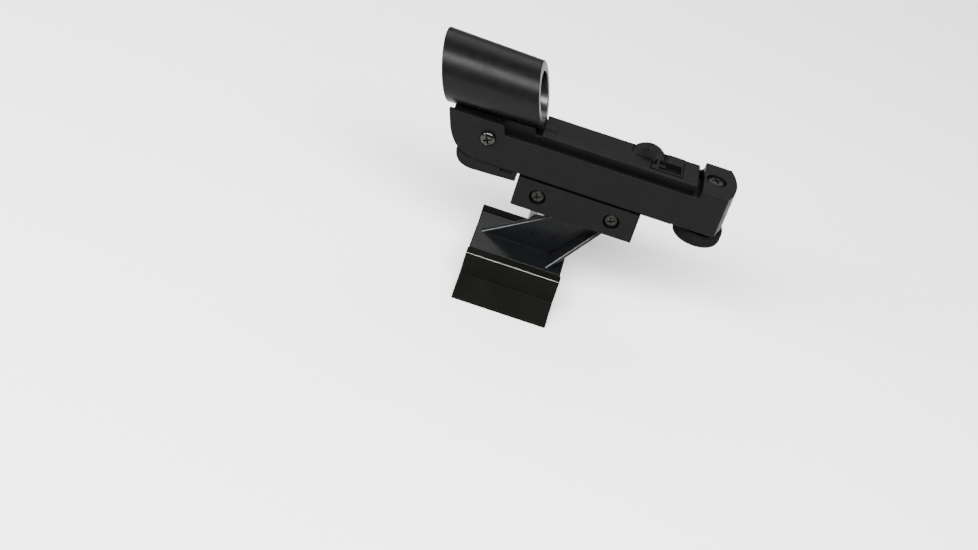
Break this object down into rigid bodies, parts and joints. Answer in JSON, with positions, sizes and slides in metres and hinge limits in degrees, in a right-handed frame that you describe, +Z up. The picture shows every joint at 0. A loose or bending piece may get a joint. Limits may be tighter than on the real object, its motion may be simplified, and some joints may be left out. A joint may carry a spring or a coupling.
{
  "type": "red-dot finder scope",
  "caption": "Zero-power red-dot finder: slant-cut lens tube on a tilting arm, channel base with knobs, battery drawer, clamp bracket on a leaning leg, and dovetail shoe.",
  "frame": {"origin": "middle of the flat facet at the crown of the shoe's underside, where it meets the telescope tube's top line", "axes": "+X along the sight line towards the eye (rearwards), +Y across to the azimuth knob's side, +Z up, square to the shoe's crown"},
  "size_m": [0.1341, 0.0638, 0.1038],
  "materials": {
    "matte_black": "fine satin moulded plastic",
    "gloss_black": "glossy moulded plastic",
    "shoe_black": "textured black paint over cast metal",
    "steel": "bright plated",
    "dark_steel": "blackened",
    "brass": "turned",
    "glass": "partly reflecting coating",
    "led_red": "smoked red resin",
    "board_green": "circuit board lacquer"
  },
  "bodies": {
    "shoe": {"shoe": "shoe_black", "shoe_screw_front": "steel", "shoe_screw_rear": "steel"},
    "thumbscrew": {"thumbscrew": "steel"},
    "clamp_strip": {"clamp_strip": "brass"},
    "bracket": {"clamp_bracket": "matte_black", "bracket_leg": "gloss_black", "far_jaw": "matte_black", "clamp_screw_front": "steel", "clamp_screw_rear": "steel", "leg_screw_front": "dark_steel", "leg_screw_rear": "dark_steel"},
    "base": {"base_channel": "matte_black", "contact_plus": "brass", "contact_minus": "brass", "altitude_spring": "steel", "azimuth_washer": "steel"},
    "battery_cover": {"battery_cover": "matte_black", "coin_cell": "steel"},
    "altitude_knob": {"altitude_knob": "matte_black", "altitude_shaft": "steel", "altitude_retaining_screw": "dark_steel"},
    "altitude_nut": {"altitude_nut": "brass"},
    "azimuth_knob": {"azimuth_knob": "matte_black", "azimuth_shaft": "steel", "azimuth_retaining_screw": "steel"},
    "azimuth_nut": {"azimuth_nut": "brass"},
    "arm": {"arm": "matte_black", "arm_floor": "matte_black", "lens_tube": "gloss_black", "tube_screw": "dark_steel", "reflector_lens": "glass", "lens_ring": "matte_black", "led_housing": "matte_black", "led": "led_red", "pinhole_mask": "dark_steel", "circuit_board": "board_green", "potentiometer": "dark_steel"},
    "brightness_wheel": {"brightness_wheel": "matte_black", "wheel_shaft": "steel"}
  },
  "joints": [
    {"name": "foot_slide", "type": "slide", "parent": "shoe", "child": "bracket", "axis": [1, 0, 0], "range_m": [0, 0.03]},
    {"name": "thumbscrew_turn", "type": "hinge", "parent": "shoe", "child": "thumbscrew", "pos_m": [0.0052, 0.0285, 0.0054], "axis": [0, -1, 0], "range_deg": [-200, 150]},
    {"name": "strip_press", "type": "slide", "parent": "shoe", "child": "clamp_strip", "axis": [0, -1, 0], "range_m": [-0.0004, 0.0003]},
    {"name": "base_slide", "type": "slide", "parent": "bracket", "child": "base", "axis": [1, 0, 0], "range_m": [-0.014, 0]},
    {"name": "cover_slide", "type": "slide", "parent": "base", "child": "battery_cover", "axis": [-1, 0, 0], "range_m": [0, 0.024]},
    {"name": "altitude_knob_turn", "type": "hinge", "parent": "base", "child": "altitude_knob", "pos_m": [0.06845, 0, 0.04435], "axis": [0, 0, 1], "range_deg": [-1260, 1260]},
    {"name": "altitude_nut_lift", "type": "slide", "parent": "base", "child": "altitude_nut", "axis": [0, 0, 1], "range_m": [-0.0025, 0.0025], "deforming": ["altitude_spring"]},
    {"name": "azimuth_knob_turn", "type": "hinge", "parent": "base", "child": "azimuth_knob", "pos_m": [-0.02625, 0.0155, 0.0611], "axis": [0, 1, 0], "range_deg": [-810, 810]},
    {"name": "arm_swing", "type": "hinge", "parent": "base", "child": "azimuth_nut", "pos_m": [0.06845, 0, 0.0611], "axis": [0, 0, -1], "range_deg": [-1, 1]},
    {"name": "arm_tilt", "type": "hinge", "parent": "azimuth_nut", "child": "arm", "pos_m": [-0.02625, 0, 0.0611], "axis": [0, -1, 0], "range_deg": [-1.5, 1.5]},
    {"name": "brightness_turn", "type": "hinge", "parent": "arm", "child": "brightness_wheel", "pos_m": [0.0388, 0.0053, 0.06385], "axis": [0, 1, 0], "range_deg": [0, 270]}
  ],
  "couplings": [
    {"joint": "strip_press", "follows": "thumbscrew_turn", "m_per_rad": 0.0001114},
    {"joint": "altitude_nut_lift", "follows": "altitude_knob_turn", "m_per_rad": 0.0001114},
    {"joint": "arm_tilt", "follows": "altitude_knob_turn", "ratio": 0.001176},
    {"joint": "arm_swing", "follows": "azimuth_knob_turn", "ratio": 0.001176}
  ]
}
